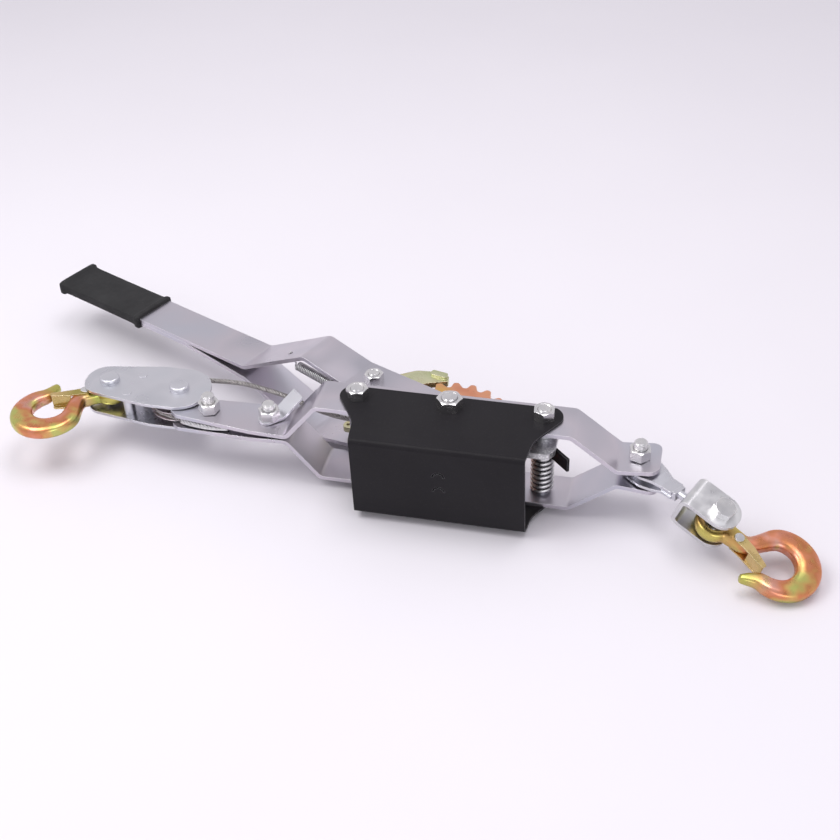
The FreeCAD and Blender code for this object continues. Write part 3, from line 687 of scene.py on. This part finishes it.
def holding_spring():
    """The heavy torsion spring round the rear cross bolt."""
    centre, _ = joint_place("holding_pawl_lift")
    low = centre + UP * (-37.0 * MM)
    high = centre + UP * (19.3 * MM)
    coil_r = 9.2 * MM
    wire_r = 1.85 * MM
    turns = 10.5
    coil = helix(low, high, coil_r, turns, 40)
    piece = wire("holding_pawl_coil", coil, wire_r, MATERIALS["spring_steel"], 14)
    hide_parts("holding_pawl_spring")
    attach(piece, "frame")


def drive_spring():
    """The tension spring from the handle arm to the drive pawl's tail, with a hook at each end."""
    tail = millimetres(-110.5, 42.0, 27.0)
    hole = millimetres(-172.0, 69.5, 31.5)
    first = millimetres(-162.0, 60.5, 26.5)
    last = millimetres(-124.0, 39.0, 26.0)
    coil_r = 4.2 * MM
    wire_r = 0.78 * MM
    turns = 20
    coil = helix(first, last, coil_r, turns, 20)
    line = [hole + UP * (4.5 * MM), hole, hole - UP * (3.4 * MM), hole.lerp(first, 0.7)] + coil
    line += [last.lerp(tail, 0.4), tail + UP * (4.2 * MM), tail, tail - UP * (4.5 * MM)]
    piece = wire("drive_pawl_coil", line, wire_r, MATERIALS["spring_steel"], 8)
    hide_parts("drive_pawl_spring")
    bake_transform(piece)


def latch_spring(prefix):
    """The small torsion spring inside the hook's neck."""
    centre, axis = joint_place(prefix + "_latch_open")
    coil_r = 3.2 * MM
    wire_r = 0.3 * MM
    turns = 3.5
    coil = helix(centre + axis * (4.1 * MM), centre + axis * (6.1 * MM), coil_r, turns, 20)
    piece = wire(prefix + "_latch_coil", coil, wire_r, MATERIALS["dark_wire"], 8)
    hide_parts(prefix + "_latch_spring")
    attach(piece, prefix + "_hook")


# ---------------------------------------------------------------------- hooks

# From the eye round the bowl to the point: x along the hook, y across it, half of the width.
SPINE = [(12, -1.2, 8.6), (17, -1.5, 8.3), (23, -1.8, 7.7), (29, -2.0, 7.2), (34, 0.0, 6.9),
         (38.5, 4.5, 6.9), (43.3, 11.2, 7.4), (50.4, 20.4, 8.7), (58.5, 24.6, 9.5),
         (67.6, 25.3, 10.2), (76.7, 22.6, 10.7), (84.1, 16.7, 10.9), (88.9, 8.4, 10.9),
         (90.2, -1.0, 10.7), (88.0, -10.1, 10.1), (82.8, -17.6, 9.3), (75.5, -22.6, 8.5),
         (67.2, -24.9, 7.7), (58.9, -25.2, 6.9), (52.5, -28.2, 5.5), (47.0, -31.7, 4.0),
         (43.6, -33.8, 2.8)]
LATCH_AT = (25.0, -4.0)
BODY_SIDES = 36
BODY_WIDER = 1.03                            # the drawn half width over the table's
BODY_MORE = 0.3                              # and what is added to it, in millimetres
BODY_HALF_H = 7.0                            # half of the thickness, in millimetres
POINT_THINNER = 3.0                          # less than that at the very point
POINT_SHARE = 0.2                            # how much of the hook thins to its point
EYE_MIDDLE = 13.0 * MM
EYE_STATIONS = 72
EYE_SIDES = 24
VOXEL = 0.8 * MM


def catmull(rows, steps):
    """Smooth rows of numbers through every given row."""
    out = []
    last = len(rows) - 1
    for i in range(last):
        p0 = rows[max(i - 1, 0)]
        p1 = rows[i]
        p2 = rows[i + 1]
        p3 = rows[min(i + 2, last)]
        for k in range(steps):
            t = k / steps
            out.append([0.5 * (2 * b + (c - a) * t + (2 * a - 5 * b + 4 * c - d) * t * t
                               + (3 * b - a - 3 * c + d) * t ** 3)
                        for a, b, c, d in zip(p0, p1, p2, p3)])
    out.append(list(rows[last]))
    return out


def hook_body():
    """The neck, bowl and point, as (points, faces)."""
    rows = catmull(SPINE, 5)
    points = [Vector((x, y, 0)) * MM for x, y, _ in rows]
    body = []
    for i, (point, row) in enumerate(zip(points, rows)):
        tangent = (points[min(i + 1, len(points) - 1)] - points[max(i - 1, 0)]).normalized()
        side = UP.cross(tangent)
        share = i / (len(rows) - 1)
        half_h = BODY_HALF_H - POINT_THINNER * max(0.0, share - (1 - POINT_SHARE)) / POINT_SHARE
        half_w = BODY_WIDER * row[2] + BODY_MORE
        for x, y in superellipse(half_w * MM, half_h * MM, 2.9, BODY_SIDES):
            body.append(point + side * x + UP * y)
    return body, ring_faces(len(rows), BODY_SIDES)


def hook_eye():
    """The eye's ring, as (points, faces)."""
    ring = []
    for i in range(EYE_STATIONS):
        angle = 2 * math.pi * i / EYE_STATIONS
        out = Vector((math.cos(angle), math.sin(angle), 0))
        for x, y in superellipse(4.5 * MM, 6.2 * MM, 2.5, EYE_SIDES):
            ring.append(out * (EYE_MIDDLE + x) + UP * y)
    return ring, ring_faces(EYE_STATIONS, EYE_SIDES, True)


def add_blush(mesh):
    """An attribute that is 1 round the bowl and falls to 0 at the eye and at the point."""
    blush = mesh.attributes.new("blush", "FLOAT", "POINT")
    point_at = Vector(SPINE[-1][:2]).to_3d() * MM
    for vertex, worked in zip(mesh.vertices, blush.data):
        from_eye = (vertex.co.length - 20 * MM) / (16 * MM)
        from_point = ((vertex.co - point_at).length - 6 * MM) / (22 * MM)
        worked.value = max(0.0, min(1.0, from_eye)) * max(0.0, min(1.0, from_point))


def forged_hook(prefix):
    """An eye hook forged in one piece, with full, rounded sections and a slim point."""
    piece = joined(prefix + "_forging", [hook_body(), hook_eye()], MATERIALS["hook_chromate"])
    remesh = piece.modifiers.new("weld", "REMESH")
    remesh.mode = "VOXEL"
    remesh.voxel_size = VOXEL
    smooth = piece.modifiers.new("soften", "SMOOTH")
    smooth.factor = 0.5
    smooth.iterations = 7
    apply_modifiers(piece)
    add_blush(piece.data)
    centre, axis = joint_place(prefix + "_hook_swing")
    latch, _ = joint_place(prefix + "_latch_open")
    lean = math.atan2(-LATCH_AT[1], LATCH_AT[0])
    along = Matrix.Rotation(lean, 3, axis) @ (latch - centre).normalized()
    side = axis.cross(along)
    turn = Matrix((along, side, axis)).transposed().to_4x4()
    piece.data.transform(Matrix.Translation(centre) @ turn)
    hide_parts(prefix + "_hook")
    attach(piece, prefix + "_hook")


# ---------------------------------------------------------------- handle grip

HANDLE_TURN = math.radians(180 - 24.4)       # the handle at rest, turned from +X
GRIP_CORNERS = 7.0                           # the section's power
GRIP_SIDES = 72


def grip():
    """The rubber sleeve: flat, with soft corners and a rolled lip at each end.

    Each row is a distance from the drum axis, half of the width and half of the height.
    """
    profile = [(388.0, 22.0, 4.4), (388.0, 24.6, 7.0), (389.2, 25.5, 7.8), (392.6, 25.5, 7.8),
               (394.4, 24.6, 6.9), (396.0, 23.9, 6.1), (402.0, 23.6, 5.9), (450.0, 23.5, 5.8),
               (496.0, 23.6, 5.9), (502.0, 23.9, 6.1), (503.6, 24.6, 6.9), (505.4, 25.5, 7.8),
               (508.8, 25.5, 7.8), (510.0, 24.8, 7.0), (510.0, 20.0, 5.0)]
    points = []
    for reach, half_w, half_h in profile:
        for x, y in superellipse(half_w * MM, half_h * MM, GRIP_CORNERS, GRIP_SIDES):
            points.append(Vector((reach * MM, x, y)))
    piece = add_mesh("rubber_sleeve", points, ring_faces(len(profile), GRIP_SIDES),
                     MATERIALS["grip_rubber"])
    turn = Matrix.Rotation(HANDLE_TURN, 4, "Z")
    piece.data.transform(Matrix.Translation((0, 0, MID)) @ turn)
    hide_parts("handle_grip")
    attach(piece, "handle")


# --------------------------------------------------------------- bolt threads

# Each bolt's x and radius, and where its thread starts and ends above the middle plane.
THREADS = {"anchor": (-234, 6, 18.9, 25.9), "guide": (-174, 6, 18.7, 24.2),
           "rear": (173, 6, 23.1, 29.1), "axle": (0, 7, 55.3, 56.4)}
THREAD_PITCH = 1.5
THREAD_DEPTH = 0.25                          # the ridge's middle under the bolt's surface
THREAD_R = 0.52 * MM


def threads():
    """The raised thread on the free ends of the frame's bolts."""
    for name, (x, radius, low, high) in THREADS.items():
        foot = millimetres(x, 0, low)
        tip = millimetres(x, 0, high)
        line = helix(foot, tip, (radius - THREAD_DEPTH) * MM, (high - low) / THREAD_PITCH, 30)
        piece = wire(name + "_thread", line, THREAD_R, MATERIALS["fastener_zinc"], 6)
        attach(piece, "frame")


# ------------------------------------------------------------ stage and light

CAMERA_AT = Vector((208.35, -954.72, 849.62)) * MM
CAMERA_LOOK = Vector((-0.18908, 0.76357, -0.61742))
CAMERA_UP = Vector((-0.11229, 0.60782, 0.78609))
SENSOR_WIDTH = 36
LENS = 58.5
FLOOR_HALF = 6.0
ROOM_STRENGTH = 0.85
# The room's colours, by the height of the direction they are seen in.
ROOM = [(0.0, (0.92, 0.89, 0.95)), (0.45, (0.98, 0.95, 0.99)), (1.0, (0.62, 0.61, 0.66))]
# Each light's name, place, size, power and colour; all of them face the origin.
LIGHTS = [("key", (-0.9, -0.3, 1.6), (1.1, 0.9), 16, (1.0, 0.99, 0.98)),
          ("top", (0.3, 0.1, 2.0), (1.2, 0.8), 13, (1.0, 0.97, 1.0)),
          ("front", (0.9, -1.6, 0.7), (1.0, 0.8), 5, (0.97, 0.97, 1.0))]


def camera():
    data = bpy.data.cameras.new("camera")
    data.sensor_width = SENSOR_WIDTH
    data.lens = LENS
    data.clip_start = 0.01
    view = bpy.data.objects.new("camera", data)
    bpy.context.collection.objects.link(view)
    back = -CAMERA_LOOK.normalized()
    right = CAMERA_UP.cross(back).normalized()
    up = back.cross(right)
    turn = Matrix((right, up, back)).transposed().to_4x4()
    view.matrix_world = Matrix.Translation(CAMERA_AT) @ turn
    bpy.context.scene.camera = view


def softbox(name, place, size, power, colour):
    data = bpy.data.lights.new(name, "AREA")
    data.shape = "RECTANGLE"
    data.size, data.size_y = size
    data.energy = power
    data.color = colour
    light = bpy.data.objects.new(name, data)
    bpy.context.collection.objects.link(light)
    light.location = place
    light.rotation_euler = (-Vector(place)).to_track_quat("-Z", "Y").to_euler()


def stage():
    """A wide pale floor, a bright room and three soft lights."""
    scene = bpy.context.scene
    scene.view_settings.view_transform = "Standard"
    n = Nodes("paper")
    n.colour(n.ramp(n.noise(2.0), [(0.3, (0.70, 0.68, 0.72)), (0.7, (0.72, 0.70, 0.74))]))
    n.shader.inputs["Roughness"].default_value = 0.9
    half = FLOOR_HALF
    corners = [(-half, -half, 0), (half, -half, 0), (half, half, 0), (-half, half, 0)]
    floor = add_mesh("floor", corners, [(0, 1, 2, 3)], n.material, False)
    world = bpy.data.worlds.new("room")
    scene.world = world
    world.use_nodes = True
    nodes = world.node_tree.nodes
    links = world.node_tree.links
    background = nodes["Background"]
    background.inputs["Strength"].default_value = ROOM_STRENGTH
    place = nodes.new("ShaderNodeTexCoord")
    split = nodes.new("ShaderNodeSeparateXYZ")
    ramp = nodes.new("ShaderNodeValToRGB")
    set_ramp(ramp.color_ramp, ROOM)
    links.new(place.outputs["Generated"], split.inputs[0])
    links.new(split.outputs["Z"], ramp.inputs["Fac"])
    links.new(ramp.outputs["Color"], background.inputs["Color"])
    for light in LIGHTS:
        softbox(*light)


camera()
stage()
finish_nodes()
haul_rope()
sheave_rope()
end_eye()
splice()
winding()
holding_spring()
drive_spring()
for prefix in ("front", "rear"):
    forged_hook(prefix)
    latch_spring(prefix)
grip()
threads()
